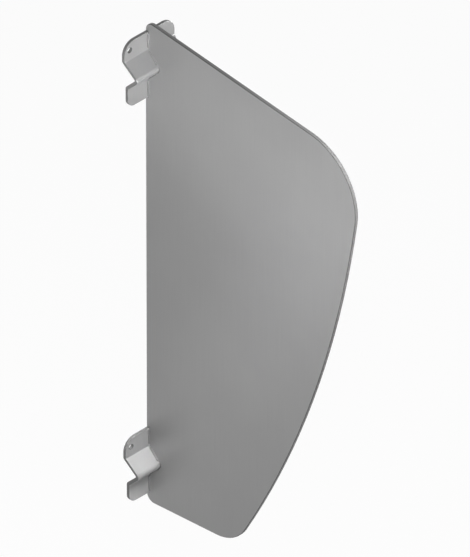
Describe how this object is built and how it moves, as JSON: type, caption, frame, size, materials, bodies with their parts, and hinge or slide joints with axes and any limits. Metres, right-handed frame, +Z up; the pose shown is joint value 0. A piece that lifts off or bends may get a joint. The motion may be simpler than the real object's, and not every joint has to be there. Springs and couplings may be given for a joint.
{
  "type": "urinal privacy screen",
  "caption": "Fin-shaped steel screen plate that stands out square from a wall, welded to bent brackets with a V-shaped rib and screw holes near its upper and lower ends.",
  "frame": {"origin": "on the wall plane, at the panel's middle plane, halfway up between the two left-hand screw holes", "axes": "+Y into the wall, the panel standing out along -Y; +Z up, the way the screen hangs; +X to the right for someone who faces the wall"},
  "size_m": [0.096, 0.4, 0.7974],
  "materials": {
    "panel": "satin stainless steel",
    "bracket": "satin stainless steel",
    "welds": "cleaned stainless steel weld bead"
  },
  "bodies": {
    "root": {"panel": "panel", "top_bracket": "bracket", "bottom_bracket": "bracket", "top_left_welds": "welds", "top_right_welds": "welds", "bottom_left_welds": "welds", "bottom_right_welds": "welds"}
  },
  "joints": []
}
